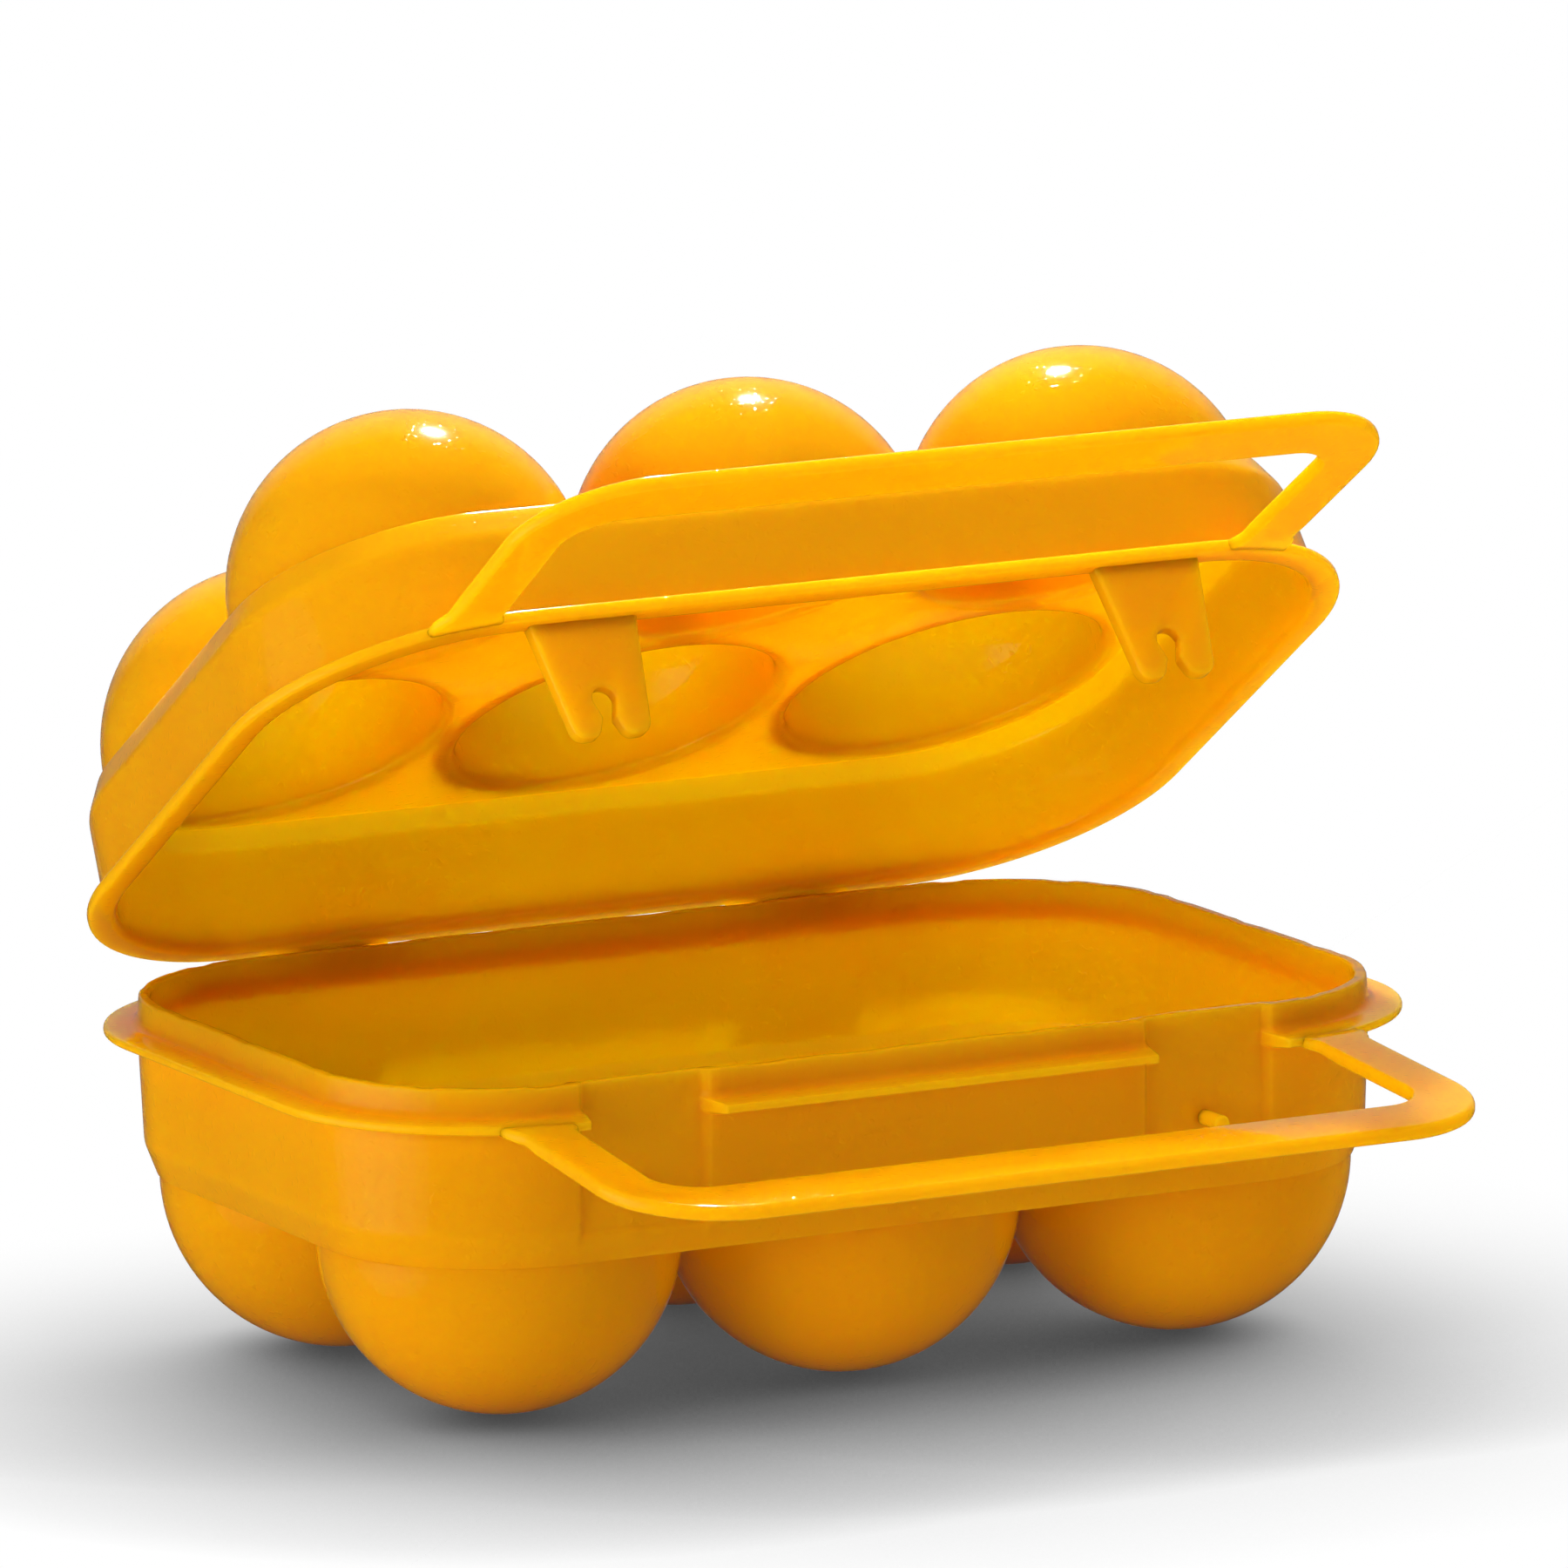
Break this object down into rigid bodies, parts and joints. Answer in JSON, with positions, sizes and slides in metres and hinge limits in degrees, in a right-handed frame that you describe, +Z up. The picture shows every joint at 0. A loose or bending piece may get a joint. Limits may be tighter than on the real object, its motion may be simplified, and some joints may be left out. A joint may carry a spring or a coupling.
{
  "type": "egg carrier",
  "caption": "Hinged clamshell egg carrier of glossy plastic with rounded egg cups in base and lid, a flat rim, front snap tongues and a carrying loop on each half.",
  "frame": {"origin": "on the table under the middle of the cup grid", "axes": "+X along the columns of cups, +Y from the front with the loops to the rear hinge, +Z up"},
  "size_m": [0.1524, 0.1504, 0.1221],
  "materials": {
    "polypropylene": "glossy moulded polypropylene, warm yellow"
  },
  "bodies": {
    "base": {"base_rim": "polypropylene", "base_front_ledge": "polypropylene", "base_plate": "polypropylene", "base_wall_front": "polypropylene", "base_wall_rear": "polypropylene", "base_wall_left": "polypropylene", "base_wall_right": "polypropylene", "base_corner_front_left": "polypropylene", "base_corner_front_right": "polypropylene", "base_corner_rear_left": "polypropylene", "base_corner_rear_right": "polypropylene", "base_cup_front_left": "polypropylene", "base_cup_front_middle": "polypropylene", "base_cup_front_right": "polypropylene", "base_cup_rear_left": "polypropylene", "base_cup_rear_middle": "polypropylene", "base_cup_rear_right": "polypropylene", "latch_peg_left": "polypropylene", "latch_peg_right": "polypropylene", "hinge_lug_left": "polypropylene", "hinge_lug_right": "polypropylene"},
    "lid": {"lid_rim": "polypropylene", "lid_plate": "polypropylene", "lid_wall_front": "polypropylene", "lid_wall_rear": "polypropylene", "lid_wall_left": "polypropylene", "lid_wall_right": "polypropylene", "lid_corner_front_left": "polypropylene", "lid_corner_front_right": "polypropylene", "lid_corner_rear_left": "polypropylene", "lid_corner_rear_right": "polypropylene", "lid_cup_front_left": "polypropylene", "lid_cup_front_middle": "polypropylene", "lid_cup_front_right": "polypropylene", "lid_cup_rear_left": "polypropylene", "lid_cup_rear_middle": "polypropylene", "lid_cup_rear_right": "polypropylene", "latch_tongue_left": "polypropylene", "latch_tongue_right": "polypropylene", "hinge_clip_left": "polypropylene", "hinge_clip_right": "polypropylene"}
  },
  "joints": [
    {"name": "lid_hinge", "type": "hinge", "parent": "base", "child": "lid", "pos_m": [0, 0.055, 0.04165], "axis": [-1, 0, 0], "range_deg": [-33, 147]}
  ]
}
